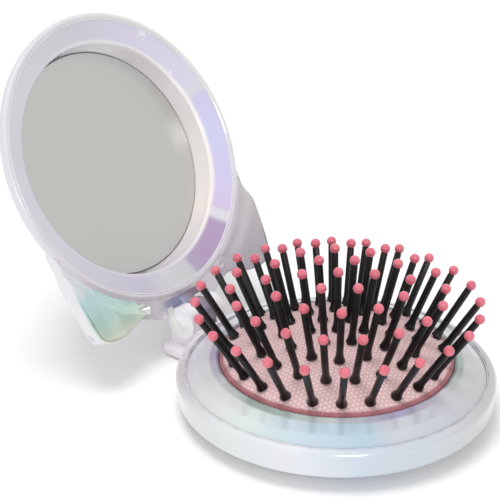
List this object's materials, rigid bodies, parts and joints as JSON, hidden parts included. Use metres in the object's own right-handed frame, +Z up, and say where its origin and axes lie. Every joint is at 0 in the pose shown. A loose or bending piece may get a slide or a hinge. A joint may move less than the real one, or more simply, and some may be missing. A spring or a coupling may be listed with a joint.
{
  "type": "folding_hairbrush_with_mirror",
  "caption": "Round folding pop-up hairbrush: a domed rubber pad of ball-tipped pins in a shallow base, and a hinged cat-eared lid that holds a mirror.",
  "frame": {"origin": "centre of the round base, on the surface the brush stands on", "axes": "+Z up, +X along the hinge axis, +Y from the middle of the base to the hinge; the lid stands open in the rest pose"},
  "size_m": [0.084, 0.1408, 0.0879],
  "materials": {
    "pearl_plastic": "pearlescent gloss, pale lilac to cream",
    "pearl_trim": "pearlescent gloss trim",
    "inner_plastic": "plain moulded",
    "rose_rubber": "soft rubber with a fine woven relief",
    "pin_black": "black gloss nylon",
    "ball_coral": "coral gloss",
    "mirror_face": "silvered glass",
    "tape_foam": "thin double-sided tape",
    "hinge_steel": "plain pin"
  },
  "bodies": {
    "base": {"base_shell": "pearl_plastic", "base_bezel": "pearl_trim", "clamp_ring": "inner_plastic", "cushion": "rose_rubber", "hinge_pin": "hinge_steel", "hinge_cap_left": "pearl_trim", "hinge_cap_right": "pearl_trim"},
    "lid": {"lid_shell": "pearl_plastic", "lid_frame": "pearl_trim", "mirror_glass": "mirror_face", "mirror_tape": "tape_foam"},
    "pad": {"push_button": "inner_plastic", "pin_centre": "pin_black", "pins_ring_1": "pin_black", "ball_centre": "ball_coral", "balls_ring_1": "ball_coral"},
    "ring_2": {"pins_ring_2": "pin_black", "balls_ring_2": "ball_coral"},
    "ring_3": {"pins_ring_3": "pin_black", "balls_ring_3": "ball_coral"},
    "ring_4": {"pins_ring_4": "pin_black", "balls_ring_4": "ball_coral"}
  },
  "joints": [
    {"name": "lid_hinge", "type": "hinge", "parent": "base", "child": "lid", "pos_m": [0, 0.0485, 0.011], "axis": [1, 0, 0], "range_deg": [0, 119.5]},
    {"name": "pad_pop", "type": "slide", "parent": "base", "child": "pad", "axis": [0, 0, -1], "range_m": [0, 0.0203], "deforming": ["cushion"]},
    {"name": "ring_2_pop", "type": "slide", "parent": "base", "child": "ring_2", "axis": [0, 0, -1], "range_m": [0, 0.0186]},
    {"name": "ring_3_pop", "type": "slide", "parent": "base", "child": "ring_3", "axis": [0, 0, -1], "range_m": [0, 0.016]},
    {"name": "ring_4_pop", "type": "slide", "parent": "base", "child": "ring_4", "axis": [0, 0, -1], "range_m": [0, 0.0122], "deforming": ["pins_ring_4", "balls_ring_4"]}
  ],
  "couplings": [
    {"joint": "pad_pop", "follows": "lid_hinge", "m_per_rad": 0.009733},
    {"joint": "ring_2_pop", "follows": "lid_hinge", "m_per_rad": 0.008918},
    {"joint": "ring_3_pop", "follows": "lid_hinge", "m_per_rad": 0.0076714},
    {"joint": "ring_4_pop", "follows": "lid_hinge", "m_per_rad": 0.0058494}
  ]
}
